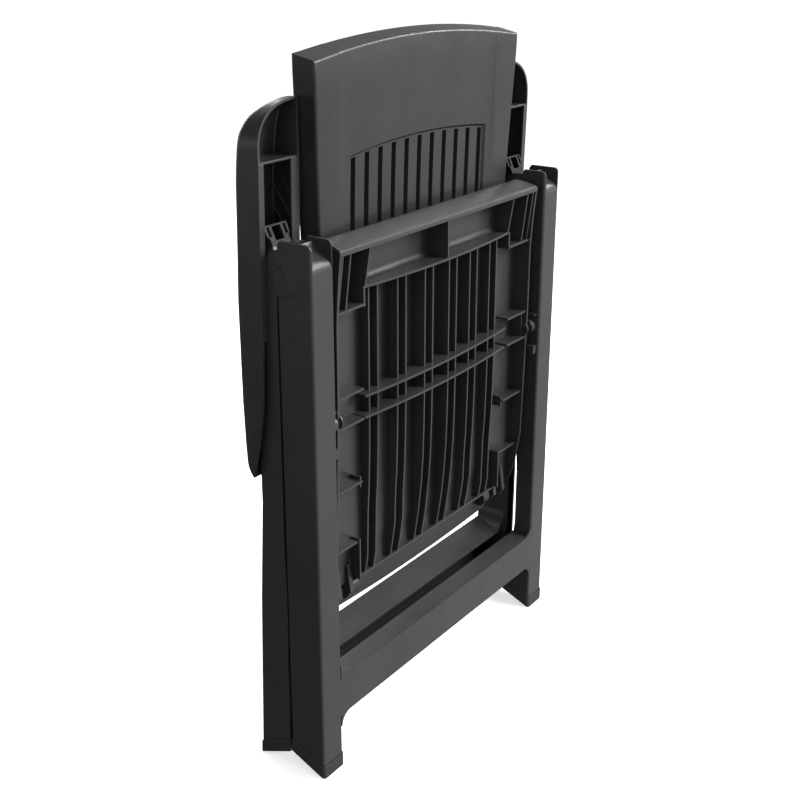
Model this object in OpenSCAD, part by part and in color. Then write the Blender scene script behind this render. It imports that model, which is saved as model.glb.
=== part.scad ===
// Folding garden chair with reclining back, drawn folded flat and standing on its four feet.
// Front is -Y, up is +Z, the floor is Z = 0.
// Side outlines are lists of [depth from the front face, height above the floor].

/* [Overall] */
// Width over the two leg frames
leg_span = 580; // [540:1:620]
// Width over the two arms
arm_span = 600; // [560:1:640]
// Width of each leg post
post_w = 41.5; // [36:0.5:46]
// Width of each arm
arm_w = 69; // [60:1:80]
// Moulded wall thickness
wall = 3.5; // [2.5:0.5:5]

/* [Hinges] */
// Depth of the pivot where the two leg frames cross
leg_axis_y = 44; // [40:0.5:48]
// Height of the pivot where the two leg frames cross
leg_axis_z = 680; // [670:1:690]
// Depth of the seat pivot on the front legs
seat_axis_y = 17; // [14:0.5:20]
// Height of the seat pivot on the front legs
seat_axis_z = 484; // [478:1:490]
// Depth of the hinge between seat and back
back_axis_y = 47; // [45:0.5:50]
// Height of the hinge between seat and back
back_axis_z = 221; // [216:1:226]
// Depth of the arm pivot on the back
arm_axis_y = 74; // [70:0.5:78]
// Height of the arm pivot on the back
arm_axis_z = 440; // [434:1:446]
// Radius of the hinge pins
pin_r = 6; // [4.5:0.5:7]
// Radial play of a pin in its bore
pin_play = 0.05; // [0.02:0.01:0.1]

/* [Seat] */
// Half width of the seat over its side walls
seat_half = 232; // [225:1:236]
// Width of a seat slot
seat_slot_w = 16; // [12:1:20]
// Spacing of the seat slots
seat_pitch = 57.5; // [50:0.5:62]

/* [Back] */
// Half width of the back at its top corners
back_top_half = 226; // [220:1:228]
// Half width of the back above the hinge
back_low_half = 200; // [196:1:206]
// Width of a back slot
back_slot_w = 10; // [8:1:16]
// Spacing of the back slots
back_pitch = 28.75; // [26:0.25:30]

/* [Feet] */
// Slope of the front soles, level when the chair stands open
front_slope = 24; // [20:1:28]
// Slope of the rear soles, level when the chair stands open
rear_slope = 22.8; // [20:0.2:27]
// Height of the foot caps
cap_h = 18; // [12:1:24]
// Thickness of a foot cap under the post
sole_t = 3.5; // [2:0.5:6]
// How far the foot caps stand out from the posts
cap_proud = 1.5; // [0.5:0.5:2]

/* [Hidden] */
e = 0.01;
mid_y = 53.75;
leg_x = leg_span / 2;
post_x = leg_x - post_w;
arm_x = arm_span / 2;
arm_in = arm_x - arm_w;
sleeve_gap = 0.3;
bore_r = pin_r + pin_play;
head_x = post_x + 14;
head_r = 28;
recess_r = head_r + 0.6;
boss_r = 31.4;
catch_tilt = 25;
catch_r0 = 32;
catch_r1 = 57;
catch_d = 16;
catch_x0 = post_x + 5;
catch_x1 = leg_x - 3.6;
rear_d = 105;
rear_front = 57;
rear_sole_z = sole_t + (rear_d - rear_front) * tan(rear_slope);
bar_low = 78;
bar_top = 133;
fillet_r = 18;
edge_r = 4;
$fn = 64;

module place() translate([0, -mid_y, 0]) children();

module both() {
  children();
  mirror([1, 0, 0]) children();
}

module block(x0, x1, y0, y1, z0, z1) translate([x0, y0, z0]) cube([x1 - x0, y1 - y0, z1 - z0]);

// Side outline swept across the chair from x0 to x1
module across(x0, x1, pts) translate([x0, 0, 0]) rotate([90, 0, 90]) linear_extrude(x1 - x0) polygon(pts);

// Front outline swept back from y0 to y1
module deep(y0, y1) translate([0, y1, 0]) rotate([90, 0, 0]) linear_extrude(y1 - y0) children();

module rod(x0, x1, y, z, r) translate([x0, y, z]) rotate([0, 90, 0]) cylinder(h = x1 - x0, r = r);

// Quarter fillet in the inner corner at [x, z], pointing into the sx, sz quadrant
module corner_fillet(x, z, sx, sz, r) {
  translate([x, z]) scale([sx, sz]) difference() {
    translate([-1, -1]) square(r + 1);
    translate([r, r]) circle(r);
  }
}

// ---------- front legs ----------

front_outer = [[0, sole_t], [51.5, sole_t + 51.5 * tan(front_slope)], [49, 600], [49, 713], [45, 718], [7, 718],
  [2, 716], [0, 711]];
front_inner_back = [[38, 0], [38, 60], [30, 150], [30, 240], [38, 420], [38, 712], [34, 720], [60, 720], [60, 0]];
front_channel = [[wall, -20], [70, -20], [70, 730], [-1, 730], [-1, 684], [wall, 684]];

// Upright bar from x0 to x1 whose two front edges at y0 are rounded
module round_front(x0, x1, y0, y1, r) {
  linear_extrude(730) union() {
    translate([x0, y0 + r]) square([x1 - x0, y1 - y0 - r]);
    translate([x0 + r, y0]) square([x1 - x0 - 2 * r, r + 1]);
    for (x = [x0 + r, x1 - r]) translate([x, y0 + r]) circle(r);
  }
}

module front_post() {
  difference() {
    union() {
      difference() {
        intersection() {
          across(post_x, leg_x, front_outer);
          round_front(post_x, leg_x, 0, 60, edge_r);
        }
        across(post_x - 1, post_x + wall, front_inner_back);
        across(post_x + wall, leg_x - 3, front_channel);
      }
      // scooped top of the front face
      across(post_x + wall - e, leg_x - 3 + e, [[0, 680], [0, 684], [0.5, 688], [1.8, 691.5], [3.8, 694.3],
        [6.8, 696.8], [11, 699.8], [16, 702.8], [21, 706.8], [25, 711.6], [26.5, 714], [28.3, 713.5], [24.5, 707],
        [20, 703], [14, 698.6], [8.5, 694.5], [5.5, 691], [wall, 686], [wall, 680]]);
      // boss that carries the pivot of the rear legs
      rod(post_x, head_x - sleeve_gap, leg_axis_y, leg_axis_z, boss_r);
      // boss that carries the seat pivot
      rod(post_x - 11, post_x + wall, seat_axis_y, seat_axis_z, 11);
      // stop lug and guide ledge on the inner wall
      block(post_x - 9, post_x + e, 4, 14, 443, 455);
      block(post_x - 6, post_x + e, 5, 15, 502, 505);
    }
    rod(head_x - sleeve_gap, leg_x + 1, leg_axis_y, leg_axis_z, recess_r);
    rod(post_x - 1, leg_x, leg_axis_y, leg_axis_z, bore_r);
    rod(post_x - 12, post_x + 10, seat_axis_y, seat_axis_z, bore_r);
  }
}

module crossbar_fillets(lo, hi, r) {
  for (s = [-1, 1]) {
    corner_fillet(s * post_x, hi, -s, 1, r);
    corner_fillet(s * post_x, lo, -s, -1, r);
  }
}

module front_leg_frame() {
  color("#34373a") place() {
    both() front_post();
    deep(0, wall) {
      translate([-post_x - 5, bar_low]) square([2 * post_x + 10, bar_top - bar_low]);
      crossbar_fillets(bar_low, bar_top, fillet_r);
    }
    block(-post_x - 1, post_x + 1, 0, 32, bar_low, bar_low + wall);
    block(-post_x - 1, post_x + 1, 0, 32, bar_top - wall, bar_top);
  }
}

// ---------- rear legs ----------

rear_outer = [[rear_front, rear_sole_z], [rear_d, sole_t], [104.5, 20], [96, 239],
  [87.5, 380], [87.5, 640], [83, 658], [76, 671], [71, 683], [60, 690], [50, 660], [52.5, 640], [rear_front - 0.2, 80]];
rear_hollow = [[rear_front - 20, -10], [rear_d - wall, -10], [rear_d - wall, 20], [96 - wall, 239],
  [84, 380], [84, 630], [78, 640], [40, 640], [40, 30]];
rear_socket = [[rear_front, rear_sole_z], [rear_d, sole_t], [104.5, 20], [103, 70], [rear_front - 0.2, 80]];
rear_inner_lip = [[46, 60], [60, 55], [60, 630], [42, 630]];

module rear_post() {
  difference() {
    union() {
      difference() {
        across(post_x, leg_x, rear_outer);
        across(post_x + wall, leg_x - wall, rear_hollow);
      }
      across(post_x, post_x + wall, rear_inner_lip);
      rod(head_x, leg_x, leg_axis_y, leg_axis_z, head_r);
      // neck that carries the arm catch
      translate([0, leg_axis_y, leg_axis_z]) rotate([-catch_tilt, 0, 0])
        block(head_x + 1, leg_x - 4, 1, catch_d - 1, 15, catch_r0);
    }
    rod(post_x - 1, head_x, leg_axis_y, leg_axis_z, boss_r + 1);
    rod(head_x - 1, leg_x + 1, leg_axis_y, leg_axis_z, pin_r);
    rod(leg_x - 2, leg_x + 1, leg_axis_y, leg_axis_z, 9);
  }
}

module rear_leg_frame() {
  color("#34373a") place() {
    both() rear_post();
    difference() {
      union() {
        across(-post_x - 1, post_x + 1, [[50, bar_low], [94, bar_low], [94, 146], [50, 135]]);
        deep(50, 94) crossbar_fillets(bar_low, 137, 28);
      }
      across(-post_x - 2, post_x + 2, [[40, bar_low + wall], [90, bar_low + wall], [90, 141.5],
        [40, 129]]);
    }
  }
}

// ---------- feet ----------

module front_foot_shape() {
  rise = tan(front_slope);
  back = 52.8;
  difference() {
    intersection() {
      across(post_x - cap_proud, leg_x + cap_proud, [[-cap_proud, 0], [back, (back + cap_proud) * rise],
        [back, (back + cap_proud) * rise + cap_h], [-cap_proud, cap_h]]);
      round_front(post_x - cap_proud, leg_x + cap_proud, -cap_proud, 60, edge_r + cap_proud);
    }
    intersection() {
      across(post_x, leg_x, [[0, sole_t], [51.5, sole_t + 51.5 * rise], [51.5, 80], [0, 80]]);
      round_front(post_x, leg_x, 0, 60, edge_r);
    }
  }
}

module front_foot_right() color("#232527") place() front_foot_shape();

module front_foot_left() color("#232527") place() mirror([1, 0, 0]) front_foot_shape();

module rear_foot_shape() {
  rise = tan(rear_slope);
  front = rear_front - 1.5;
  back = rear_d + cap_proud;
  difference() {
    across(post_x - cap_proud, leg_x + cap_proud, [[front, (back - front) * rise], [back, 0],
      [back - 0.6, cap_h], [front, (back - front) * rise + cap_h]]);
    across(post_x, leg_x, rear_socket);
  }
}

module rear_foot_right() color("#232527") place() rear_foot_shape();

module rear_foot_left() color("#232527") place() mirror([1, 0, 0]) rear_foot_shape();

// ---------- pins ----------

module leg_pivot_pin_shape() {
  {
    rod(post_x - sleeve_gap, leg_x - 2, leg_axis_y, leg_axis_z, pin_r);
    rod(post_x - 2.3, post_x - sleeve_gap, leg_axis_y, leg_axis_z, 9);
    difference() {
      rod(leg_x - 2, leg_x + 0.5, leg_axis_y, leg_axis_z, 8.7);
      rod(leg_x - 0.6, leg_x + 1, leg_axis_y, leg_axis_z, 6.5);
    }
  }
}

module leg_pivot_pin_right() color("#2a2c2e") place() leg_pivot_pin_shape();

module leg_pivot_pin_left() color("#2a2c2e") place() mirror([1, 0, 0]) leg_pivot_pin_shape();

module seat_pivot_pin_shape() {
  {
    rod(seat_half - wall, post_x + wall + 0.4, seat_axis_y, seat_axis_z, pin_r);
    rod(post_x + wall + 0.4, post_x + wall + 2.4, seat_axis_y, seat_axis_z, 8.5);
    rod(seat_half - wall - 2.5, seat_half - wall, seat_axis_y, seat_axis_z, 10);
  }
}

module seat_pivot_pin_right() color("#2a2c2e") place() seat_pivot_pin_shape();

module seat_pivot_pin_left() color("#2a2c2e") place() mirror([1, 0, 0]) seat_pivot_pin_shape();

module back_hinge_pin_shape() {
  {
    rod(161, 212, back_axis_y, back_axis_z, pin_r);
    rod(212, 214.5, back_axis_y, back_axis_z, 9);
  }
}

module back_hinge_pin_right() color("#2a2c2e") place() back_hinge_pin_shape();

module back_hinge_pin_left() color("#2a2c2e") place() mirror([1, 0, 0]) back_hinge_pin_shape();

module arm_pivot_pin_shape() {
  {
    rod(208, arm_in + 3.4, arm_axis_y, arm_axis_z, pin_r);
    rod(arm_in + 3.4, arm_in + 5.9, arm_axis_y, arm_axis_z, 10);
  }
}

module arm_pivot_pin_right() color("#2a2c2e") place() arm_pivot_pin_shape();

module arm_pivot_pin_left() color("#2a2c2e") place() mirror([1, 0, 0]) arm_pivot_pin_shape();

// ---------- catch on the head of each rear leg ----------

module arm_catch_shape() {
  w = catch_x1 - catch_x0;
  flare = 3.3;
  translate([0, leg_axis_y, leg_axis_z]) rotate([-catch_tilt, 0, 0])
    difference() {
      deep(0, catch_d) polygon([[catch_x0, catch_r0], [catch_x1, catch_r0], [catch_x1, 41],
        [catch_x1 + flare, 44], [catch_x1 + flare, catch_r1], [catch_x0 - flare, catch_r1],
        [catch_x0 - flare, 44], [catch_x0, 41]]);
      block(catch_x0 + w * 0.27, catch_x0 + w * 0.73, -1, 12, catch_r0 + 6, catch_r1 - 2.5);
      for (u = [0, 0.87])
        block(catch_x0 + w * u, catch_x0 + w * u + 4, -1, 9, 43, catch_r1 - 2.2);
    }
}

module arm_catch_right() color("#2b2d30") place() arm_catch_shape();

module arm_catch_left() color("#2b2d30") place() mirror([1, 0, 0]) arm_catch_shape();

// ---------- seat ----------

seat_side = [[3, 697], [5, 680], [8, 650], [10.5, 610], [11, 507], [14, 379], [16, 313], [24, 264], [32, 236],
  [36, 232], [43, 232], [43, 262], [40, 300], [40, 696]];
seat_top = [[36.5, 290], [36.5, 700], [40, 700], [40, 300], [43, 262], [43, 234], [39.5, 234],
  [39.5, 262]];
seat_nose = [[3, 693], [3, 697], [3.8, 699.2], [6, 700.8], [12, 702.8], [20, 705.2], [28, 707.2], [33, 708],
  [36.5, 707.4], [39, 705], [40, 701], [40, 690], [36.5, 690], [36.5, 700], [34, 704], [27, 702.6],
  [18, 699.8], [9, 697.6], [6, 696.4], [5.5, 693]];
nose_r = 12;

// Front outline of the rolled edge, with round ends
module nose_outline() {
  translate([-seat_half, 680]) square([2 * seat_half, 28 - nose_r]);
  translate([nose_r - seat_half, 680]) square([2 * (seat_half - nose_r), 29]);
  for (s = [-1, 1]) translate([s * (seat_half - nose_r), 708 - nose_r]) circle(nose_r);
}

module seat_rib(x0, x1, z, y0) block(x0, x1, y0, 38, z - 1.5, z + 1.5);

// Cross rib whose free edge bows forward by sag in the middle
module bowed_rib(half, z, y0, sag) {
  r = (half * half + sag * sag) / (2 * sag);
  translate([0, 0, z - 1.5]) linear_extrude(3) intersection() {
    translate([-half, y0 - sag]) square([2 * half, 38 - y0 + sag]);
    translate([0, y0 - sag + r]) circle(r, $fn = 720);
  }
}

module seat_upright(x, y0, z0, z1) block(x - 1.25, x + 1.25, y0, 38, z0, z1);

// Lip beside a slot; its free edge follows the curve of the seat towards the hinge
module slot_lip(x, y0) {
  across(x - 1.25, x + 1.25, [[y0, 500], [y0, 642], [38, 642], [38, 500]]);
  across(x - 1.25, x + 1.25, [[y0, 471], [y0 + 0.5, 420], [y0 + 1.8, 370], [max(y0 + 4, 19), 330],
    [max(y0 + 5, 23), 290], [27, 262], [31, 238], [41, 238], [41, 262], [38, 300], [38, 471]]);
}

module seat_slots() {
  for (i = [-2.5 : 1 : 2.5]) {
    block(i * seat_pitch - seat_slot_w / 2, i * seat_pitch + seat_slot_w / 2, 30, 50, 506, 638);
    block(i * seat_pitch - seat_slot_w / 2, i * seat_pitch + seat_slot_w / 2, 30, 50, 300, 466);
  }
}

module seat() {
  color("#3a3d40") place() difference() {
    union() {
      difference() {
        across(-seat_half, seat_half, seat_top);
        seat_slots();
      }
      intersection() {
        across(-seat_half, seat_half, seat_nose);
        deep(0, 60) nose_outline();
      }
      both() {
        across(seat_half - wall, seat_half, seat_side);
        // hinge ears behind the seat
        for (x = [180, 205]) {
          difference() {
            union() {
              rod(x, x + 7, back_axis_y, back_axis_z, 13);
              across(x, x + 7, [[30, 222], [back_axis_y, 208], [back_axis_y + 11, 226], [46, 243],
                [42.9, 262], [36, 262]]);
            }
            rod(x - 1, x + 8, back_axis_y, back_axis_z, pin_r);
          }
        }
        // short ribs beside the seat pivot and along the sides
        seat_rib(176, seat_half - 1, 512, 13);
        seat_rib(176, seat_half - 1, 472, 13);
        seat_rib(172, seat_half - 1, 621, 12);
        seat_rib(176, seat_half - 1, 384, 17);
        seat_rib(176, seat_half - 1, 296, 24);
        for (x = [209, 224]) across(x - 1.25, x + 1.25, [[4.5, 697], [14, 621], [38, 621], [38, 700]]);
        across(168.8, 171.2, [[4.5, 697], [14, 641], [38, 641], [38, 700]]);
        seat_upright(224, 17, 473, 511);
        seat_upright(176, 22, 240, 300);
        seat_upright(176, 20, 375, 390);
        // walls along the slots
        for (i = [0.5 : 1 : 2.5]) for (s = [-1, 1])
          slot_lip(i * seat_pitch + s * (seat_slot_w / 2 + 1.25), 13 + i * 3.4);
        // gussets between the double ribs
        for (i = [0.5 : 1 : 2.5]) for (s = [-1, 1])
          seat_upright(i * seat_pitch + s * (seat_slot_w / 2 + 1.25), 13 + i * 3.4, 471, 500);
      }
      across(-1.25, 1.25, [[4.5, 697], [4, 641], [38, 641], [38, 700]]);
      // rounded foot of the front cross rib
      for (x = [[-169, -1], [1, 169]]) across(x[0], x[1], [[38, 643], [30, 643], [32.4, 643.8],
        [34.6, 645.8], [36, 648.4], [36.5, 651], [38, 651]]);
      // lugs under the rear rib
      for (x = [-45, 45]) across(x - 9, x + 9, [[31.5, 236], [41, 236], [41, 229]]);
      bowed_rib(173, 642, 14, 11);
      bowed_rib(171, 500, 14, 9);
      bowed_rib(171, 471, 15, 9);
      across(-175, 175, [[31, 235.5], [42, 235.5], [42, 238.5], [31, 238.5]]);
      // short hooks under the front cross rib
      both() block(171.5, 174.5, 13, 38, 618, 642);
    }
    both() rod(seat_half - 8, seat_half + 1, seat_axis_y, seat_axis_z, pin_r);
  }
}

// ---------- back ----------

back_side = [[39.5, 935], [40, 905], [47, 707], [48.5, 500], [49.5, 251], [76, 251], [78, 500], [76, 707],
  [72, 905], [70, 935]];
back_hollow = [[43.5, 935], [43.7, 890], [50.5, 707], [52, 500], [53, 254], [90, 254], [90, 935]];
back_sag = 17;
back_top = 934;
back_top_y = 68;
back_top_slope = 16;
back_arc_r = (back_top_half * back_top_half + back_sag * back_sag) / (2 * back_sag);

module back_outline(grow) {
  {
    polygon([[-back_low_half + grow, 200], [back_low_half - grow, 200], [back_low_half - grow, 420],
      [215 - grow, 707], [back_top_half - grow, 905], [back_top_half - grow, 940],
      [-back_top_half + grow, 940], [-back_top_half + grow, 905], [-215 + grow, 707],
      [-back_low_half + grow, 420]]);
  }
}

// Arched top that rises towards the rear
module back_crown(grow) {
  translate([0, back_top_y, back_top - back_arc_r / cos(back_top_slope)]) rotate([90 + back_top_slope, 0, 0])
    cylinder(h = 900, r = back_arc_r - grow, center = true, $fn = 720);
}

module backrest() {
  color("#36393c") place() difference() {
    union() {
      difference() {
        intersection() {
          across(-back_top_half - 1, back_top_half + 1, back_side);
          deep(30, 90) back_outline(0);
          back_crown(0);
        }
        intersection() {
          across(-back_top_half - 1, back_top_half + 1, back_hollow);
          deep(30, 95) back_outline(wall);
          back_crown(wall);
        }
      }
      // cross ribs on the rear side
      intersection() {
        for (z = [330, 440, 550, 660, 812])
          block(-back_top_half, back_top_half, 50, 72, z - 1.5, z + 1.5);
        deep(30, 90) back_outline(1);
      }
      // tongue between the hinge ears
      across(-174, 174, [[52, 189], [56, 186], [62, 188], [74, 256], [50.5, 256], [51, 240]]);
      both() {
        rod(160, 176, back_axis_y, back_axis_z, 12);
        across(160, 174, [[47, 232], [56, 240], [56, 210], [50, 210]]);
        // arm pivot boss
        rod(back_low_half - 6, arm_in - 0.6, arm_axis_y, arm_axis_z, 13);
      }
    }
    for (i = [-5 : 5])
      block(i * back_pitch - back_slot_w / 2, i * back_pitch + back_slot_w / 2, 30, 60, 300,
        799 - 0.0004 * pow(i * back_pitch, 2));
    both() {
      rod(159, 177, back_axis_y, back_axis_z, bore_r);
      rod(208, arm_in, arm_axis_y, arm_axis_z, pin_r);
    }
  }
}

// ---------- arms ----------

arm_side = [[63, 871], [63, 805], [65, 720], [67, 590], [71, 510], [79, 461], [88.4, 420], [90, 416],
  [97, 421], [102, 427], [105, 435], [107, 452], [109, 515], [109, 641], [106, 716], [104, 777],
  [102, 804], [98, 834], [92, 855], [82, 867], [74, 871]];
arm_hollow = [[50, 868], [50, 424], [96, 424], [99.5, 430], [102, 437], [104, 452], [106, 515],
  [106, 641], [103, 716], [101, 777], [99, 803], [95, 832], [89.5, 852.5], [80, 864], [73, 868]];
arm_tip_r = 60;

module arm_outline(grow) {
  intersection() {
    translate([arm_in + grow, 400]) square([arm_w - 2 * grow, 480]);
    union() {
      translate([arm_x - arm_tip_r, 871 - arm_tip_r]) circle(arm_tip_r - grow);
      translate([arm_in - 1, 400]) square([arm_w + 2, 471 - arm_tip_r]);
      translate([arm_in - 1, 800]) square([arm_w - arm_tip_r + 1, 71 - grow]);
    }
  }
}

module arm_shell() {
  difference() {
    union() {
      difference() {
        intersection() {
          across(arm_in - 1, arm_x + 1, arm_side);
          deep(50, 120) arm_outline(0);
        }
        intersection() {
          across(arm_in - 1, arm_x + 1, arm_hollow);
          deep(40, 125) arm_outline(3);
        }
      }
      // partition between front cell and channel
      across(arm_in + 1, arm_x - 1, [[64, 802], [64, 805], [100, 805], [100, 802]]);
      // inward flanges of the channel
      across(arm_in + 1, arm_in + 12, [[63, 803], [65, 720], [67, 595], [70, 595], [68, 720], [66, 803]]);
      across(arm_x - 9.4, arm_x - 1, [[63, 803], [65, 720], [67, 595], [70, 595], [68, 720], [66, 803]]);
      // boss inside the pivot
      rod(arm_in, arm_in + 3, arm_axis_y, arm_axis_z, 14);
    }
    block(post_x - 1, leg_x + 1, 70, 88.6, 400, 440);
    rod(arm_in - 1, arm_in + 4, arm_axis_y, arm_axis_z, bore_r);
  }
}

module arm_right() color("#33363a") place() arm_shell();

module arm_left() color("#33363a") place() mirror([1, 0, 0]) arm_shell();

rack_teeth = 9;
rack_z0 = 664;
rack_pitch = 14;

module rack() {
  across(catch_x0, catch_x1, concat(
    [[103, 716], [105.08, 664]],
    [for (i = [0 : rack_teeth - 1]) for (k = [0, 1])
      [101.6 - i * 0.36 - k * 1.6 + (k == 0 ? 0.6 : 0), rack_z0 + i * rack_pitch + k * (rack_pitch - 2)]],
    [[100.15, 788], [101, 777]]));
}

module arm_rack_right() color("#2b2d30") place() rack();

module arm_rack_left() color("#2b2d30") place() mirror([1, 0, 0]) rack();

front_leg_frame();
rear_leg_frame();
seat();
backrest();
arm_right();
arm_left();
arm_rack_right();
arm_rack_left();
arm_catch_right();
arm_catch_left();
front_foot_right();
front_foot_left();
rear_foot_right();
rear_foot_left();
leg_pivot_pin_right();
leg_pivot_pin_left();
seat_pivot_pin_right();
seat_pivot_pin_left();
back_hinge_pin_right();
back_hinge_pin_left();
arm_pivot_pin_right();
arm_pivot_pin_left();
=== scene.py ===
"""Folding garden armchair in dark moulded resin, folded flat and standing on its four feet."""
import math

import bmesh
import bpy
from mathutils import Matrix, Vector


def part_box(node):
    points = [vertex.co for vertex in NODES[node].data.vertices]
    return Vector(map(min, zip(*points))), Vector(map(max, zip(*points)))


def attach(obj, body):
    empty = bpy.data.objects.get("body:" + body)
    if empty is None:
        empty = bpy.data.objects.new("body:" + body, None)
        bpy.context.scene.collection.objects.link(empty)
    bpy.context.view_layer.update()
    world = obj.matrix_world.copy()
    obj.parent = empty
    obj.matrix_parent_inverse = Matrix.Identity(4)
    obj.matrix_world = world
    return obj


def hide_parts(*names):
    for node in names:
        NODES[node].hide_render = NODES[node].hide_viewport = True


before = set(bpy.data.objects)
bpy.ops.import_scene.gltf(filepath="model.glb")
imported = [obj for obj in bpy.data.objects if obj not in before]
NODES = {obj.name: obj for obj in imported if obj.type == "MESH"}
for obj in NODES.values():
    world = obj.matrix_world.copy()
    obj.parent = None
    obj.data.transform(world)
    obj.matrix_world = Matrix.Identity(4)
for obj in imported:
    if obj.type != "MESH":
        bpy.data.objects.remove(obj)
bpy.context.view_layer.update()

MM = 0.001

# Sizes and places are in mm: x across from the middle, y back from the front face of the front legs, z up.
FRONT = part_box("front_leg_frame")[0].y / MM
ARM_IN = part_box("arm_right")[0].x / MM
ARM_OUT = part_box("arm_right")[1].x / MM
ARM_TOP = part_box("arm_right")[1].z / MM
BACK_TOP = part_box("backrest")[1].z / MM
# The arms' inner walls stand this much nearer the back than the CAD arms do.
ARM_NEARER = 2.2
ARM_SIDE = ARM_IN - ARM_NEARER

# The back's hinge on the seat and the arms' hinge on the back, as (y, z).
BACK_AXIS = (47.0, 221.0)
ARM_AXIS = (74.0, 440.0)


def at(x, y, z):
    """A point in metres in the model's frame, from mm."""
    return Vector((x * MM, (FRONT + y) * MM, z * MM))


def steps(table, x):
    """Straight-line reading of a table of (x, value) pairs in rising x."""
    if x <= table[0][0]:
        return table[0][1]
    for (a, at_a), (b, at_b) in zip(table, table[1:]):
        if x <= b:
            return at_a + (at_b - at_a) * (x - a) / (b - a)
    return table[-1][1]


# ---------- node helpers ----------

def add(tree, kind, inputs=None, **settings):
    """A new node; each input is set to a value, or linked where it is given another node's output."""
    made = tree.nodes.new(kind)
    for key, value in settings.items():
        setattr(made, key, value)
    for key, value in (inputs or {}).items():
        if isinstance(value, bpy.types.NodeSocket):
            tree.links.new(value, made.inputs[key])
        else:
            made.inputs[key].default_value = value
    return made


def remap(tree, value, low, high, to_low, to_high):
    ends = {"From Min": low, "From Max": high, "To Min": to_low, "To Max": to_high}
    return add(tree, "ShaderNodeMapRange", {"Value": value, **ends}).outputs[0]


def maths(tree, operation, first, second=0.0):
    return add(tree, "ShaderNodeMath", {0: first, 1: second}, operation=operation).outputs[0]


def dot(tree, first, second):
    return add(tree, "ShaderNodeVectorMath", {0: first, 1: second}, operation="DOT_PRODUCT").outputs["Value"]


def blend(tree, factor, first, second):
    return add(tree, "ShaderNodeMix", {"Factor": factor, 6: first, 7: second}, data_type="RGBA").outputs[2]


def noise(tree, place, scale, detail, stretch=None):
    if stretch:
        place = add(tree, "ShaderNodeMapping", {"Vector": place, "Scale": stretch}).outputs[0]
    return add(tree, "ShaderNodeTexNoise", {"Vector": place, "Scale": scale, "Detail": detail}).outputs["Fac"]


def bump(tree, height, strength, distance, **under):
    inputs = {"Height": height, "Strength": strength, "Distance": distance, **under}
    return add(tree, "ShaderNodeBump", inputs).outputs[0]


# ---------- materials ----------

# Scales of the patterns in the resin, as repeats to the metre.
CLOUD_SCALE = 11.0
WAVE_SCALE = 22.0
GLOSS_SCALE = 34.0
PATCH_SCALE = 70.0
STREAK_SCALE = 160.0
# Clouds and streaks run up and down the mouldings.
CLOUD_STRETCH = (1.0, 1.0, 0.35)
STREAK_STRETCH = (1.0, 1.0, 0.06)
# Depths and radii in metres.
WORN_RADIUS = 0.0016
WAVE_DEPTH = 0.0005


def resin(name, dark, light, worn, rough, grain=1500.0, grain_depth=0.00006, wear=0.5, specular=0.5):
    """Moulded resin: fine grain, uneven gloss, faint clouding and paler worn edges."""
    material = bpy.data.materials.new(name)
    material.use_nodes = True
    tree = material.node_tree
    tree.nodes.clear()
    place = add(tree, "ShaderNodeTexCoord").outputs["Object"]

    # edges that hands and floors have rubbed paler, in patches
    rounded = add(tree, "ShaderNodeBevel", {"Radius": WORN_RADIUS}, samples=4).outputs[0]
    normal = add(tree, "ShaderNodeNewGeometry").outputs["Normal"]
    edge = remap(tree, dot(tree, rounded, normal), 0.995, 0.86, 0.0, 1.0)
    patches = remap(tree, noise(tree, place, PATCH_SCALE, 4.0), 0.35, 0.7, 0.25, 1.0)
    edge = maths(tree, "MULTIPLY", maths(tree, "MULTIPLY", edge, patches), wear)

    clouds = remap(tree, noise(tree, place, CLOUD_SCALE, 5.0, CLOUD_STRETCH), 0.3, 0.7, 0.0, 1.0)
    colour = blend(tree, edge, blend(tree, clouds, (*dark, 1), (*light, 1)), (*worn, 1))

    gloss = remap(tree, noise(tree, place, GLOSS_SCALE, 6.0), 0.3, 0.7, rough - 0.05, rough + 0.07)
    streaks = remap(tree, noise(tree, place, STREAK_SCALE, 3.0, STREAK_STRETCH), 0.5, 0.75, 0.0, 0.05)
    roughness = maths(tree, "ADD", maths(tree, "ADD", gloss, streaks), maths(tree, "MULTIPLY", edge, 0.18))

    wave = bump(tree, noise(tree, place, WAVE_SCALE, 2.0), 0.35, WAVE_DEPTH)
    surface = bump(tree, noise(tree, place, grain, 3.0), 0.55, grain_depth, Normal=wave)

    shader = add(tree, "ShaderNodeBsdfPrincipled", {"Base Color": colour, "Roughness": roughness,
                                                    "Normal": surface, "Specular IOR Level": specular})
    add(tree, "ShaderNodeOutputMaterial", {"Surface": shader.outputs[0]})
    return material


RESIN = resin("resin_shell", dark=(0.021, 0.022, 0.023), light=(0.030, 0.031, 0.032),
              worn=(0.075, 0.077, 0.079), rough=0.34)
# A darker copy of the same resin for the back: its darker colours are painted shade, standing in for the shade
# that falls on the back's front face.
RESIN_BACK_PAINTED_SHADE = resin("resin_back_painted_shade", dark=(0.016, 0.017, 0.017), light=(0.023, 0.024, 0.024),
                   worn=(0.065, 0.067, 0.068), rough=0.32, specular=0.4)
INSERT = resin("insert_plastic", dark=(0.008, 0.008, 0.008), light=(0.013, 0.013, 0.013),
               worn=(0.03, 0.03, 0.03), rough=0.50, wear=0.3, specular=0.15)
PIN = resin("pin_plastic", dark=(0.018, 0.018, 0.019), light=(0.026, 0.026, 0.027),
            worn=(0.08, 0.08, 0.08), rough=0.30)
FOOT = resin("foot_plastic", dark=(0.013, 0.013, 0.014), light=(0.022, 0.022, 0.022),
             worn=(0.06, 0.06, 0.06), rough=0.55, grain=900.0, grain_depth=0.00012, wear=0.8)
BY_NODE = {"arm_rack": INSERT, "arm_catch": INSERT, "front_foot": FOOT, "rear_foot": FOOT,
           "leg_pivot_pin": PIN, "seat_pivot_pin": PIN, "back_hinge_pin": PIN, "arm_pivot_pin": PIN}

# ---------- edges and walls ----------

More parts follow.
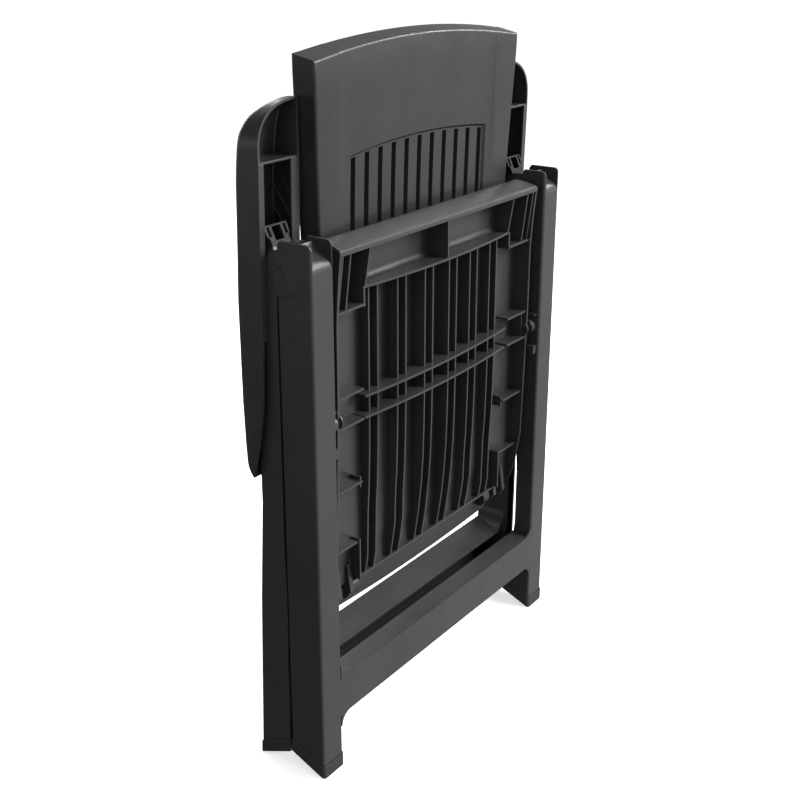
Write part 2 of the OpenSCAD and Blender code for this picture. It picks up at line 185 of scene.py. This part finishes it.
BEVEL_STEPS = 2
FACE_WEIGHT = 80
MERGE = 0.000004
FLAT_ANGLE = 0.6


def smoothing():
    """A modifier that joins a mesh's loose corners and shades it smooth."""
    group = bpy.data.node_groups.new("join_and_smooth", "GeometryNodeTree")
    for way in ("INPUT", "OUTPUT"):
        group.interface.new_socket("Geometry", in_out=way, socket_type="NodeSocketGeometry")
    start = add(group, "NodeGroupInput")
    merged = add(group, "GeometryNodeMergeByDistance", {"Geometry": start.outputs[0], "Distance": MERGE})
    smooth = add(group, "GeometryNodeSetShadeSmooth", {"Geometry": merged.outputs[0]})
    add(group, "NodeGroupOutput", {0: smooth.outputs[0]})
    return group


SMOOTH = smoothing()


def round_edges(obj, width, angle):
    """Rounds every edge sharper than the angle, and keeps the faces flat to the eye."""
    mod = obj.modifiers.new("round_edges", "BEVEL")
    mod.width = width * MM
    mod.segments = BEVEL_STEPS
    mod.limit_method = "ANGLE"
    mod.angle_limit = math.radians(angle)
    mod = obj.modifiers.new("face_shading", "WEIGHTED_NORMAL")
    mod.weight = FACE_WEIGHT


def join_faces(obj):
    """Joins the triangles of each flat face into one."""
    mod = obj.modifiers.new("join", "NODES")
    mod.node_group = SMOOTH
    mod = obj.modifiers.new("plain_faces", "DECIMATE")
    mod.decimate_type = "DISSOLVE"
    mod.angle_limit = math.radians(FLAT_ANGLE)


def shell(obj, thick, edge, angle, even=True):
    """Gives an open skin its wall thickness, inward, then rounds its edges."""
    mod = obj.modifiers.new("wall", "SOLIDIFY")
    mod.thickness = thick * MM
    mod.offset = -1.0
    mod.use_even_offset = even
    mod.use_rim = True
    round_edges(obj, edge, angle)


# ---------- CAD nodes that stay ----------

NODE_ANGLE = 24.0
NODE_ROUND = 0.5
ROUND = {"front_leg_frame": 1.4, "rear_leg_frame": 1.2, "seat": 0.7, "arm_rack": 0.4, "arm_catch": 0.6,
         "front_foot": 1.2, "rear_foot": 1.2}


def paint(obj, material):
    obj.data.materials.clear()
    obj.data.materials.append(material)
    for face in obj.data.polygons:
        face.material_index = 0


for name, obj in NODES.items():
    kind = name.removesuffix("_right").removesuffix("_left")
    paint(obj, BY_NODE.get(kind, RESIN))
    join_faces(obj)
    round_edges(obj, ROUND.get(kind, NODE_ROUND), NODE_ANGLE)


# ---------- mesh helpers ----------

def piece(name, parts, body, material, replaced=(), mirror=False):
    """One object from several part meshes, each a (points, faces) pair."""
    bm = bmesh.new()
    for points, faces in parts:
        corners = [bm.verts.new((-p.x, p.y, p.z) if mirror else p) for p in points]
        for face in faces:
            face = [corners[i] for i in face]
            bm.faces.new(face[::-1] if mirror else face)
    for face in bm.faces:
        face.smooth = True
    mesh = bpy.data.meshes.new(name)
    bm.to_mesh(mesh)
    bm.free()
    mesh.materials.append(material)
    obj = bpy.data.objects.new(name, mesh)
    bpy.context.scene.collection.objects.link(obj)
    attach(obj, body)
    if replaced:
        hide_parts(*replaced)
    return obj


def outward(points, faces):
    """The same closed mesh with every face turned outward."""
    bm = bmesh.new()
    corners = [bm.verts.new(p) for p in points]
    for face in faces:
        bm.faces.new([corners[i] for i in face])
    bmesh.ops.recalc_face_normals(bm, faces=bm.faces)
    bm.verts.index_update()
    turned = [tuple(v.index for v in face.verts) for face in bm.faces]
    bm.free()
    return points, turned


def loft(rings, closed=False):
    """A closed mesh through rings of points, capped at its ends or run round to its first ring."""
    k = len(rings[0])
    count = len(rings)
    faces = [(a * k + b, a * k + (b + 1) % k, (a + 1) % count * k + (b + 1) % k, (a + 1) % count * k + b)
             for a in range(count if closed else count - 1) for b in range(k)]
    if not closed:
        faces += [tuple(range(k)), tuple(range((count - 1) * k, count * k))]
    return outward([at(*p) for ring in rings for p in ring], faces)


def sweep(x0, x1, outline):
    """A closed side outline of (y, z) pairs, swept from x0 to x1."""
    return loft([[(x, y, z) for y, z in outline] for x in (x0, x1)])


def box(x0, x1, y0, y1, z0, z1):
    return sweep(x0, x1, [(y0, z0), (y1, z0), (y1, z1), (y0, z1)])


def boss(x0, x1, axis, radius, bore, sides=40):
    """A round boss across the chair, with a bore."""
    y, z = axis
    turns = [2 * math.pi * i / sides for i in range(sides)]
    return loft([[(x, y + r * math.cos(a), z + r * math.sin(a)) for a in turns]
                 for x, r in ((x0, radius), (x1, radius), (x1, bore), (x0, bore))], closed=True)


# ---------- back ----------

# Half width, front depth and rear depth of the back, each against height.
SIDE_X = [(251, 200), (420, 200), (707, 215), (905, 226), (940, 226)]
BACK_FRONT_Y = [(251, 49.5), (500, 48.5), (707, 47), (780, 45.0), (850, 42.2), (880, 41.0), (900, 40.6),
                (912, 41.0), (930, 42.6)]
BACK_REAR_Y = [(251, 76), (500, 78), (707, 76), (905, 72), (930, 70.5)]
BACK_LOW = 251.0
BACK_ROUND = 3.5
BACK_WALL = 3.4
BACK_EDGE = 0.9
# How much deeper the front face is in its middle than at its sides.
HOLLOW = 3.4
# The top edge is an arc that stands CROWN higher in its middle, and it rises towards the rear.
CROWN = 17.0
CROWN_RISE = 0.21
CROWN_FRONT = 7.5
CROWN_HALF = 226.0
CROWN_RADIUS = (CROWN_HALF ** 2 + CROWN ** 2) / (2 * CROWN)
# Outside the crease the face stands a little proud.
CREASE = 170.0
CREASE_HALF = 0.7
CREASE_RISE = 0.9
# The slots lie in a sunk field with a small step round it.
SLOTS = range(-5, 6)
SLOT_PITCH = 28.75
SLOT_HALF = 4.9
SLOT_LOW = 300.0
FIELD = 152.5
FIELD_STEP = 3.0
FIELD_SINK = 3.2
FIELD_MARGIN = 2.0
FIELD_TOP = 799.0
FIELD_CURVE = 0.0004
# How finely the skin is divided: rows below, beside and above the slots, and columns outside the crease.
LOW_ROWS = 3
SLOT_ROWS = 14
HIGH_ROWS = 12
OUTER_COLUMNS = 5
ROUND_RINGS = 5
DEPTH_RINGS = 2


def crown(x):
    """Height of the front edge of the back's top."""
    return BACK_TOP - CROWN_FRONT - (CROWN_RADIUS - math.sqrt(CROWN_RADIUS ** 2 - x * x))


def skin_depth(x, z):
    """Depth of the front face before the field is sunk."""
    return steps(BACK_FRONT_Y, z) + HOLLOW * (1 - (x / steps(SIDE_X, z)) ** 2)


def field_top(x):
    return FIELD_TOP - FIELD_CURVE * x * x


def skin_columns():
    """Each column as (x, share): share 0 lies on x, share 1 on the side edge. Then the slots' columns."""
    crease = CREASE + CREASE_HALF
    outer = [(crease, i / OUTER_COLUMNS) for i in range(1, OUTER_COLUMNS + 1)]
    right = [(x, 0) for x in (FIELD, FIELD + FIELD_STEP, CREASE - CREASE_HALF, crease)] + outer
    left = [(-x, share) for x, share in right[::-1]]
    edges = [(k * SLOT_PITCH + side * SLOT_HALF, 0) for k in SLOTS for side in (-1, 1)]
    return left + edges + right, range(len(left), len(left) + len(edges), 2)


def skin_height(row, x):
    """Height of a row of the skin at x; a row is a zone and a share of the way up it."""
    zone, share = row
    top = field_top(max(-FIELD, min(FIELD, x)))
    low = {"low": BACK_LOW, "slot": SLOT_LOW, "lip": top + FIELD_MARGIN,
           "high": top + FIELD_MARGIN + FIELD_STEP}[zone]
    high = {"low": SLOT_LOW, "slot": top, "lip": top + FIELD_MARGIN + FIELD_STEP,
            "high": crown(x) - BACK_ROUND}[zone]
    return low + (high - low) * share


def skin_point(column, row):
    x, share = column
    z = skin_height(row, math.copysign(FIELD, x) if share else x)
    if share:
        side = math.copysign(1, x)
        for _ in range(3):
            edge = steps(SIDE_X, z) - BACK_ROUND
            x = column[0] + side * (edge - abs(column[0])) * share
            z = skin_height(row, x)
    sunk = abs(x) < FIELD + 0.01 and (row[0] in ("low", "slot") or row == ("lip", 0))
    proud = CREASE_RISE if abs(x) > CREASE else 0.0
    return x, skin_depth(x, z) - proud + (FIELD_SINK if sunk else 0.0), z


def back_skin():
    """The front face with its slots, and the walls that turn back from its border."""
    columns, slots = skin_columns()
    rows = [("low", i / LOW_ROWS) for i in range(LOW_ROWS)]
    rows += [("slot", i / SLOT_ROWS) for i in range(SLOT_ROWS + 1)] + [("lip", 0), ("lip", 1)]
    rows += [("high", i / HIGH_ROWS) for i in range(1, HIGH_ROWS + 1)]
    points = [skin_point(column, row) for row in rows for column in columns]
    wide, last_row, last_column = len(columns), len(rows) - 1, len(columns) - 1
    faces = []
    for j in range(last_row):
        open_row = rows[j][0] == rows[j + 1][0] == "slot"
        faces += [(j * wide + i, j * wide + i + 1, (j + 1) * wide + i + 1, (j + 1) * wide + i)
                  for i in range(last_column) if not (open_row and i in slots)]

    border = [(0, i) for i in range(wide)] + [(j, last_column) for j in range(1, len(rows))]
    border += [(last_row, i) for i in range(last_column - 1, -1, -1)]
    border += [(j, 0) for j in range(last_row - 1, 0, -1)]
    inner = [j * wide + i for j, i in border]
    for ring in range(1, ROUND_RINGS + DEPTH_RINGS + 1):
        turn = math.radians(90.0 * min(ring, ROUND_RINGS) / ROUND_RINGS)
        outer = range(len(points), len(points) + len(border))
        for j, i in border:
            x, y, z = points[j * wide + i]
            across = (i == last_column) - (i == 0)
            up = (j == last_row) - (j == 0)
            deep = y + BACK_ROUND * (1 - math.cos(turn))
            if ring > ROUND_RINGS:
                deep += (steps(BACK_REAR_Y, z) - deep) * (ring - ROUND_RINGS) / DEPTH_RINGS
            rise = (deep - y) * CROWN_RISE if up > 0 else 0.0
            grow = BACK_ROUND * math.sin(turn)
            points.append((x + across * grow, deep, z + up * grow + rise))
        for k in range(len(border)):
            after = (k + 1) % len(border)
            faces.append((inner[after], inner[k], outer[k], outer[after]))
        inner = outer
    return [at(*p) for p in points], faces


# The flap below the hinge: its lower edge is a shallow arc with round ends.
FLAP_LOW = 186.5
FLAP_SAG = 6.0
FLAP_CORNER = 8.0
FLAP_HALF = 196.0
FLAP_TOP = 203.5
FLAP_STEPS = 48
# Between the hinges the flap runs up into the skin.
FLAP_MIDDLE = 174.0


def flap(half, upper):
    """One stretch of the flap, from its lower edge up to the (y, z) pairs of its upper part."""
    rings = []
    for i in range(FLAP_STEPS + 1):
        x = -half + 2 * half * i / FLAP_STEPS
        low = FLAP_LOW + FLAP_SAG * (x / FLAP_HALF) ** 2
        left = half - abs(x)
        if left < FLAP_CORNER:
            low += FLAP_CORNER - math.sqrt(FLAP_CORNER ** 2 - (FLAP_CORNER - left) ** 2)
        outline = [(52.5, low + 3), (54.2, low + 0.8), (57.0, low), (60.0, low + 1.0),
                   (62.0, min(low + 5, FLAP_TOP - 0.1)), *upper]
        rings.append([(x, y, z) for y, z in outline])
    return loft(rings)


CROSS_RIBS = (330, 440, 550, 660, 812)
CROSS_RIB_HALF = 1.5
RIB_FRONT = 55.5
RIB_REAR = 70.0
RIB_EDGE = 0.6
RIB_ANGLE = 30.0
LIP_HALF = 1.1
LIP_GAP = 1.2
LONG_RIB = 178.0
LONG_RIB_HALF = 1.2


def cross_rib(z):
    half = steps(SIDE_X, z) - 2.0
    return box(-half, half, RIB_FRONT, RIB_REAR, z - CROSS_RIB_HALF, z + CROSS_RIB_HALF)


def slot_lip(slot, side):
    """The upright rib beside a slot, with its front edge inside the skin."""
    x = slot * SLOT_PITCH + side * (SLOT_HALF + LIP_GAP)
    top = field_top(x) + 3
    front = [(skin_depth(x, z) + FIELD_SINK + 1.6, z) for z in (top, 750, 707, 600, 500, 400, 298)]
    return sweep(x - LIP_HALF, x + LIP_HALF, front + [(66, 300), (67, top - 6), (65, top)])


def long_rib(x):
    return sweep(x - LONG_RIB_HALF, x + LONG_RIB_HALF, [(52, 254), (70, 254), (70, 830), (66, 900), (47, 900)])


# The back's skin and ribs take the darker copy of the resin, whose colour is painted shade.
skin = piece("backrest_skin", [back_skin()], "back_unit", RESIN_BACK_PAINTED_SHADE, ("backrest",))
shell(skin, BACK_WALL, BACK_EDGE, 35.0)

ribs = [cross_rib(z) for z in CROSS_RIBS]
ribs += [slot_lip(slot, side) for slot in SLOTS for side in (-1, 1)]
ribs += [long_rib(-LONG_RIB), long_rib(LONG_RIB)]
ribs.append(flap(FLAP_MIDDLE, [(66.0, 207.0), (74.0, 256), (50.5, 256), (51.0, 240)]))
ribs.append(flap(FLAP_HALF, [(61.5, FLAP_TOP), (53.0, FLAP_TOP)]))
for side in (-1, 1):
    ribs.append(boss(side * 160, side * 176, BACK_AXIS, 12, 6.05))
    ribs.append(boss(side * 194, side * (ARM_SIDE - 0.3), ARM_AXIS, 13, 6.0))
round_edges(piece("backrest_ribs", ribs, "back_unit", RESIN_BACK_PAINTED_SHADE), RIB_EDGE, RIB_ANGLE)

# ---------- arms ----------

# Depth of the open rim and of the roof, each against height.
RIM_Y = [(416, 90), (420, 88.4), (461, 79), (510, 71), (590, 67), (720, 65), (805, 63), (871, 63)]
ROOF_Y = [(416, 90), (418, 94), (421, 97), (424, 99.8), (427, 102), (435, 105), (452, 107), (515, 109),
          (641, 109), (716, 106), (777, 104), (804, 102), (834, 98), (855, 92), (867, 82), (871, 74)]
ARM_WALL = 2.8
ARM_EDGE = 0.8
# Heights of the sections from the rear end up to where the tip starts to round.
ARM_SECTIONS = (416, 417.5, 419.5, 422, 425, 428, 432, 437, 444, 452, 461, 475, 490, 510, 550, 590, 641, 680,
                716, 750, 777, 800, 818)
TIP_Z = 818.0
TIP_POWER = 2.3
TIP_SECTIONS = 18
TIP_ANGLE = 4.8
# The roof's corner radii at the inner and at the outer wall.
INNER_RADIUS = 5.0
OUTER_RADIUS = 11.0
CORNER_STEPS = 6


def arm_section(z):
    """The arm's open section at a height, from the inner rim over the roof to the outer rim."""
    rim = steps(RIM_Y, z)
    roof = max(steps(ROOF_Y, z), rim + 0.4)
    out = ARM_OUT
    if z > TIP_Z:
        share = min(1.0, (z - TIP_Z) / (ARM_TOP - TIP_Z))
        out = ARM_IN + 3 + (ARM_OUT - ARM_IN - 3) * (1 - share ** TIP_POWER) ** (1 / TIP_POWER)
    wide, deep = out - ARM_SIDE, roof - rim
    inner_r = max(0.1, min(INNER_RADIUS, deep * 0.4, wide * 0.3))
    outer_r = max(0.1, min(OUTER_RADIUS, deep * 0.45, wide * 0.4))
    turns = [math.radians(90 * i / CORNER_STEPS) for i in range(CORNER_STEPS + 1)]
    section = [(ARM_SIDE, rim), (ARM_SIDE, rim + (deep - inner_r) * 0.5)]
    section += [(ARM_SIDE + inner_r * (1 - math.cos(a)), roof - inner_r * (1 - math.sin(a))) for a in turns]
    section.append(((ARM_SIDE + out) / 2, roof + min(0.3, deep * 0.01)))
    section += [(out - outer_r * (1 - math.sin(a)), roof - outer_r * (1 - math.cos(a))) for a in turns]
    section += [(out, rim + (deep - outer_r) * 0.5), (out, rim)]
    return [at(x, y, z) for x, y in section]


def arm_skin():
    """The arm's walls and roof, closed at the rear end and at the tip, open towards the front."""
    turns = [math.radians(TIP_ANGLE * i) for i in range(1, TIP_SECTIONS + 1)]
    tip = [TIP_Z + (ARM_TOP - TIP_Z) * math.sin(turn) for turn in turns]
    sections = [arm_section(z) for z in (*ARM_SECTIONS, *tip)]
    k = len(sections[0])
    faces = [((j + 1) * k + i, (j + 1) * k + i + 1, j * k + i + 1, j * k + i)
             for j in range(len(sections) - 1) for i in range(k - 1)]
    points = [p for section in sections for p in section]
    faces += [tuple(range(len(points) - 1, len(points) - 1 - k, -1)), tuple(range(k))]
    return points, faces


# The wall across the arm between the front cell and the channel, and the flanges along the channel.
PARTITION = (802, 805)
FLANGE = [(63, 803), (65, 720), (67, 595), (70, 595), (68, 720), (66, 803)]
GUIDES = (772, 744, 716, 688, 660)


def guide(z):
    """A slanted guide rib on the arm's inner wall."""
    return sweep(ARM_SIDE + 2, ARM_IN + 4, [(98, z + 22), (98, z + 25), (71, z - 15), (71, z - 18)])


def arm_inside():
    parts = [box(ARM_SIDE + 1, ARM_OUT - 7, 64, 99.5, *PARTITION),
             box(ARM_OUT - 7.5, ARM_OUT - 1.2, 64, 93, *PARTITION),
             sweep(ARM_SIDE + 1, ARM_IN + 12, FLANGE),
             sweep(ARM_OUT - 9.4, ARM_OUT - 1, FLANGE),
             boss(ARM_SIDE + 0.4, ARM_IN + 3, ARM_AXIS, 14, 6.05)]
    return parts + [guide(z) for z in GUIDES]


for side in ("right", "left"):
    body = "arm_unit_" + side[0]
    mirror = side == "left"
    skin = piece("arm_shell_" + side, [arm_skin()], body, RESIN, ("arm_" + side,), mirror)
    shell(skin, ARM_WALL, ARM_EDGE, 50.0, even=False)
    inside = piece("arm_inner_" + side, arm_inside(), body, RESIN, (), mirror)
    round_edges(inside, RIB_EDGE, RIB_ANGLE)

# ---------- floor, light and camera ----------

WHITE = (1.0, 1.0, 1.0, 1.0)
FLOOR_RADIUS = 40.0
FLOOR_GLOW = 0.62


def studio_floor():
    """A pale floor out to the horizon, which isn't mirrored in the resin."""
    material = bpy.data.materials.new("studio_floor")
    material.use_nodes = True
    shader = material.node_tree.nodes["Principled BSDF"]
    for key, value in {"Base Color": (0.93, 0.93, 0.93, 1.0), "Roughness": 0.9, "Specular IOR Level": 0.1,
                       "Emission Color": WHITE, "Emission Strength": FLOOR_GLOW}.items():
        shader.inputs[key].default_value = value
    bm = bmesh.new()
    bmesh.ops.create_circle(bm, cap_ends=True, radius=FLOOR_RADIUS, segments=96)
    mesh = bpy.data.meshes.new("floor")
    bm.to_mesh(mesh)
    bm.free()
    mesh.materials.append(material)
    floor = bpy.data.objects.new("floor", mesh)
    bpy.context.scene.collection.objects.link(floor)
    floor.visible_glossy = False
    floor.visible_diffuse = False


def studio_air():
    """Soft light from all round: brightest from the front right, with a pale band at the horizon."""
    world = bpy.data.worlds.new("studio")
    world.use_nodes = True
    tree = world.node_tree
    way = add(tree, "ShaderNodeTexCoord").outputs["Generated"]
    brightest = Vector((0.38, -0.85, 0.30)).normalized()
    sky = remap(tree, dot(tree, way, brightest), -0.35, 1.0, 0.10, 1.0)
    height = maths(tree, "ABSOLUTE", add(tree, "ShaderNodeSeparateXYZ", {0: way}).outputs["Z"])
    horizon = remap(tree, height, 0.05, 0.16, 1.0, 0.0)
    background = tree.nodes["Background"]
    background.inputs["Color"].default_value = WHITE
    tree.links.new(maths(tree, "MAXIMUM", sky, horizon), background.inputs["Strength"])
    bpy.context.scene.world = world


MIDDLE = Vector((0.0, 0.0, 0.5))
# Each lamp's place and size in metres, and its power in watts; all of them face the chair's middle.
SOFTBOXES = {
    "key": ((1.5, -2.5, 2.3), (1.2, 1.4), 165),
    "glint": ((2.4, -0.85, 2.2), (0.42, 0.42), 27),
    "top": ((0.2, 0.3, 3.0), (1.6, 1.4), 14),
    "rear": ((1.2, 2.6, 1.7), (1.6, 1.6), 60),
    "left_fill": ((-2.4, -0.4, 1.4), (0.8, 1.6), 7),
}


def softbox(name, place, size, power):
    lamp = bpy.data.lights.new(name, "AREA")
    lamp.shape = "RECTANGLE"
    lamp.size, lamp.size_y = size
    lamp.energy = power
    obj = bpy.data.objects.new(name, lamp)
    obj.location = place
    obj.rotation_euler = (MIDDLE - Vector(place)).to_track_quat("-Z", "Y").to_euler()
    bpy.context.scene.collection.objects.link(obj)


def studio_camera():
    lens = bpy.data.cameras.new("camera")
    lens.sensor_width = 36.0
    lens.lens = 56.19
    camera = bpy.data.objects.new("camera", lens)
    camera.location = (-1.342, -0.91475, 1.057)
    camera.rotation_euler = (math.radians(68.97), 0.0, math.radians(-54.91))
    bpy.context.scene.collection.objects.link(camera)
    bpy.context.scene.camera = camera


studio_floor()
studio_air()
for name, settings in SOFTBOXES.items():
    softbox(name, *settings)
studio_camera()
bpy.context.scene.view_settings.view_transform = "Standard"
